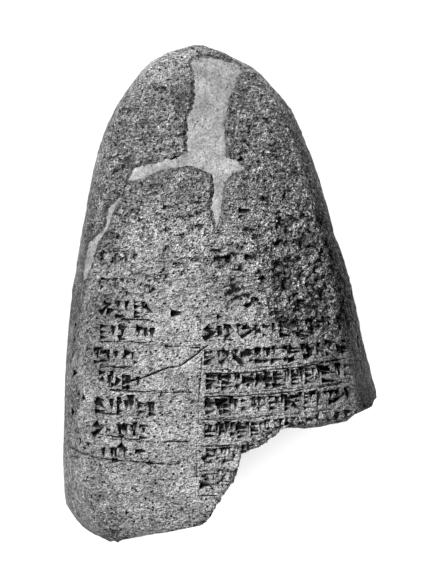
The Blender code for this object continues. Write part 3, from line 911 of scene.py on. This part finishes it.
bands = np.arange(0.0, 0.97, EDGE_BAND)
slices = [across[(along >= low) & (along < low + EDGE_BAND)] for low in bands]
left_edge = np.interp(along, bands + EDGE_BAND / 2, [-part.min() for part in slices])
right_edge = np.interp(along, bands + EDGE_BAND / 2, [part.max() for part in slices])
leftness = -across / left_edge
rightness = across / np.where(along < BREAK_TOP, 1.0, right_edge)
high_up = smooth_step(along, 0.60, 0.85)
left_strip = (0.84 - 0.24 * high_up) * smooth_step(leftness, 0.82, 0.93)
left_strip = left_strip * (0.8 + 0.2 * smooth_step(along, 0.15, 0.25))
# The right side is painted darker, as shade where it turns away from the key light; the left is darker too.
right_side_shade = (0.98 - 0.28 * high_up) * smooth_step(rightness, 0.79, 0.89)
strips = (left_strip + right_side_shade) * (1 - smooth_step(along, 0.90, 0.96))
strips = strips + 0.20 * patch(across, along, (-0.96, 0.48), (0.09, 0.05))
wall = 0.8 * smooth_step(crumbled, 0.2, 0.7) * (1 - smooth_step(normals[:, 2], 0.2, 0.6))
print("patina of the sides, mean", round(float(np.mean(strips)), 3))

# %% Darker face, partly painted shade: broad zones first, then patches by strength, place and reach
FACE_PATCHES = [
    (0.25, (0.0, 0.475), (0.16, 0.06)),
    (0.25, (-0.78, 0.07), (0.20, 0.05)),
    (-0.25, (0.28, 0.845), (0.12, 0.05)),
    (0.18, (0.64, 0.54), (0.46, 0.16)),
    (0.30, (-0.26, 0.905), (0.11, 0.045)),
    (0.15, (0.12, 0.84), (0.10, 0.09)),
    (0.30, (0.02, 0.985), (0.13, 0.022)),
    (-0.42, (-0.30, 0.960), (0.26, 0.045)),
]

upper = 0.40 * smooth_step(along, 0.62, 0.76)
lower = 0.18 * (1 - smooth_step(along, 0.46, 0.52)) * (1 - smooth_step(across, -0.50, -0.25))
left_of_rows = 0.18 + 0.27 * smooth_step(along, 0.30, 0.36) * (1 - smooth_step(along, 0.66, 0.74))
left_of_rows = left_of_rows + 0.16 * patch(across, along, (-0.80, 0.54), (0.22, 0.09))
left_of_rows = left_of_rows * smooth_step(leftness, 0.50, 0.80) * (1 - smooth_step(along, 0.86, 0.92))
# Towards the right edge the face is painted darker, as shade where it turns away from the key light.
right_painted_shade = 0.55 * smooth_step(rightness, 0.52, 0.80) * (1 - smooth_step(along, 0.36, 0.42))
high_band = smooth_step(along, 0.62, 0.68) * (1 - smooth_step(along, 0.84, 0.90))
right_painted_shade = right_painted_shade + 0.22 * smooth_step(rightness, 0.45, 0.70) * high_band
face = upper + lower + left_of_rows + right_painted_shade
for strength, place, reach in FACE_PATCHES:
    face = face + strength * patch(across, along, place, reach)
darkening_and_shade = np.maximum(np.maximum(strips, wall), face)
write_attribute(stone, "darkening_and_shade", np.clip(darkening_and_shade, 0, 1))

# %% Fresh plaster: pale in the crown's lower part and in the side fill's upper part
along = shares_of(vertices_of(plasters["crown_fill"])[0])[1]
write_attribute(plasters["crown_fill"], "fresh", 0.35 + 0.65 * (1 - smooth_step(along, 0.78, 0.84)))
along = shares_of(vertices_of(plasters["side_fill"])[0])[1]
write_attribute(plasters["side_fill"], "fresh", 0.04 + 0.70 * smooth_step(along, 0.58, 0.64))

# %% [markdown]
# ## Finishes
#
# The photograph has no colour, so both finishes are neutral. The stone is mottled and strongly
# speckled, with small dark pits and short level slits; the plaster is paler and smoother. Each layer
# is a noise of its own size on Object coordinates, and the layers are multiplied.


# %% Material helpers
def add_node(tree, kind, inputs=None, **settings):
    """Add a node; inputs take a value or another node's output."""
    node = tree.nodes.new(kind)
    for name, value in settings.items():
        setattr(node, name, value)
    for name, value in (inputs or {}).items():
        if isinstance(value, bpy.types.NodeSocket):
            tree.links.new(value, node.inputs[name])
        else:
            node.inputs[name].default_value = value
    return node.outputs[0]


def noise_of(tree, where, scale, detail, roughness=0.5):
    """A cloudy noise with so many spots to the metre."""
    inputs = {"Vector": where, "Scale": scale, "Detail": detail, "Roughness": roughness}
    return add_node(tree, "ShaderNodeTexNoise", inputs)


def ranged(tree, value, low, high, to_low, to_high):
    """Map a value from one range to another, clamped."""
    ends = {"Value": value, "From Min": low, "From Max": high, "To Min": to_low, "To Max": to_high}
    return add_node(tree, "ShaderNodeMapRange", ends)


def calc(tree, operation, first, second):
    """A sum, a product or another operation of two values."""
    return add_node(tree, "ShaderNodeMath", {0: first, 1: second}, operation=operation)


def product(tree, *values):
    """All these values multiplied."""
    result = values[0]
    for value in values[1:]:
        result = calc(tree, "MULTIPLY", result, value)
    return result


def attribute(tree, name):
    """A number that the vertices keep."""
    node = tree.nodes.new("ShaderNodeAttribute")
    node.attribute_name = name
    return node.outputs["Fac"]


# %% A finish's frame
def new_finish(name, roughness, specular):
    """A matte finish and the parts that its nodes need."""
    finish = bpy.data.materials.new(name)
    finish.use_nodes = True
    tree = finish.node_tree
    shader = tree.nodes["Principled BSDF"]
    shader.inputs["Roughness"].default_value = roughness
    shader.inputs["Specular IOR Level"].default_value = specular
    where = tree.nodes.new("ShaderNodeTexCoord").outputs["Object"]
    return finish, tree, shader, where


def colour_and_bump(tree, shader, tone, height, strength, distance):
    """Link a tone and a bump to the shader."""
    tree.links.new(tone, shader.inputs["Base Color"])
    bump = add_node(tree, "ShaderNodeBump", {"Strength": strength, "Distance": distance, "Height": height})
    tree.links.new(bump, shader.inputs["Normal"])


# %% Grey stone: grain, pits and slits
stone_finish, tree, shader, where = new_finish("grey_stone", 0.9, 0.15)
streaked = add_node(tree, "ShaderNodeMapping", {"Vector": where, "Scale": (0.45, 1.0, 1.0)})
mottle = ranged(tree, noise_of(tree, where, 34.0, 4.0, 0.6), 0.32, 0.68, 0.76, 1.24)
mottle = product(tree, mottle, ranged(tree, noise_of(tree, where, 120.0, 3.0, 0.6), 0.34, 0.66, 0.76, 1.22))
grain = noise_of(tree, where, 900.0, 1.0, 0.6)
coarse = noise_of(tree, where, 420.0, 2.0, 0.6)
ripple = noise_of(tree, streaked, 700.0, 1.0, 0.6)
pit_shape = add_node(tree, "ShaderNodeTexVoronoi", {"Vector": where, "Scale": 250.0, "Randomness": 1.0})
few = ranged(tree, noise_of(tree, where, 150.0, 1.0), 0.43, 0.51, 0.0, 1.0)
pits = ranged(tree, pit_shape, 0.14, 0.28, 0.04, 1.0)
pits = calc(tree, "MAXIMUM", pits, calc(tree, "SUBTRACT", 1.0, few))
slits = ranged(tree, noise_of(tree, streaked, 480.0, 2.0, 0.55), 0.33, 0.41, 0.12, 1.0)
print("layers of grain so far:", len(tree.nodes), "nodes")

# %% Grey stone: what the vertices tell
darkening_and_shade = attribute(tree, "darkening_and_shade")
hollow = attribute(tree, "hollow")
rough = attribute(tree, "rough")
# Darker broad zones and sides, partly painted shade, darken the tone.
darkening_and_shade_tone = ranged(tree, darkening_and_shade, 0.0, 1.0, 1.0, 0.19)
# Hollows are painted dark as shade, darkest in the rough parts.
hollow_painted_shade = ranged(tree, hollow, 0.0, 1.0, 1.0, ranged(tree, rough, 0.6, 1.0, 0.03, 0.30))
blotches = ranged(tree, noise_of(tree, where, 430.0, 3.0, 0.7), 0.36, 0.62, 0.36, 1.62)
broad = ranged(tree, noise_of(tree, where, 130.0, 3.0, 0.6), 0.36, 0.60, 0.60, 1.35)
blotchy = calc(tree, "ADD", product(tree, darkening_and_shade, 1.1), product(tree, rough, 0.8))
blotches = calc(tree, "POWER", product(tree, blotches, broad), blotchy)
# The stone beside the plaster is painted darker, as shade along the plaster's edge, broken up by a noise.
edge_shade_noise = ranged(tree, noise_of(tree, where, 200.0, 2.0), 0.36, 0.62, 0.3, 1.4)
plaster_edge_shade = ranged(tree, product(tree, attribute(tree, "beside"), edge_shade_noise), 0.0, 0.5, 1.0, 0.55)
speckle = ranged(tree, grain, 0.34, 0.64, 0.44, 1.38)
speckle = product(tree, speckle, ranged(tree, coarse, 0.36, 0.60, 0.66, 1.22))
speckle = calc(tree, "POWER", speckle, calc(tree, "ADD", product(tree, rough, 0.6), 1.0))
print("with what the vertices tell:", len(tree.nodes), "nodes")

# %% Grey stone: tone and bump
STONE_TONE = 0.42
STONE_BUMP = (1.0, 0.0025)

tone = product(tree, mottle, speckle, blotches, slits, pits, darkening_and_shade_tone, hollow_painted_shade, plaster_edge_shade, STONE_TONE)
height = calc(tree, "ADD", product(tree, grain, 0.5), product(tree, ripple, 0.6))
height = calc(tree, "ADD", height, product(tree, coarse, 1.0))
height = calc(tree, "ADD", height, product(tree, pits, 0.4))
calmer = ranged(tree, hollow, 0.0, 1.0, 1.0, 0.3)
stronger = ranged(tree, rough, 0.0, 1.0, 1.0, 3.0)
colour_and_bump(tree, shader, tone, product(tree, height, calmer, stronger), *STONE_BUMP)
stone.data.materials.clear()
stone.data.materials.append(stone_finish)
print(stone_finish.name, "has", len(tree.nodes), "nodes")

# %% Pale plaster
OLD_TONE = 0.205
FRESH_TONE = 0.335
PLASTER_BUMP = (0.8, 0.0008)

plaster_finish, tree, shader, where = new_finish("pale_plaster", 0.85, 0.2)
mottle = ranged(tree, noise_of(tree, where, 60.0, 4.0, 0.6), 0.32, 0.68, 0.72, 1.28)
grain = noise_of(tree, where, 700.0, 1.0, 0.6)
speckle = ranged(tree, grain, 0.34, 0.66, 0.70, 1.30)
stain = ranged(tree, noise_of(tree, where, 170.0, 2.0), 0.30, 0.42, 0.66, 1.0)
fresh_tone = ranged(tree, attribute(tree, "fresh"), 0.0, 1.0, OLD_TONE, FRESH_TONE)
colour_and_bump(tree, shader, product(tree, mottle, speckle, stain, fresh_tone), grain, *PLASTER_BUMP)
for item in plasters.values():
    item.data.materials.clear()
    item.data.materials.append(plaster_finish)
print(plaster_finish.name, "has", len(tree.nodes), "nodes")

# %% [markdown]
# ## Putting the pieces in place
#
# Each finished piece stands in for its imported node and rides on the root.
# Its faces are shaded smooth, except across sharp creases such as the strokes' edges.

# %% Shade
CREASE = 50.0

for item in (stone, *plasters.values()):
    lit_by_key.objects.link(item)
    only(item)
    bpy.ops.object.shade_smooth_by_angle(angle=math.radians(CREASE))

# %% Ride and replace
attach(stone, "root")
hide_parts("stone")
for node, item in plasters.items():
    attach(item, "root")
    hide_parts(node)
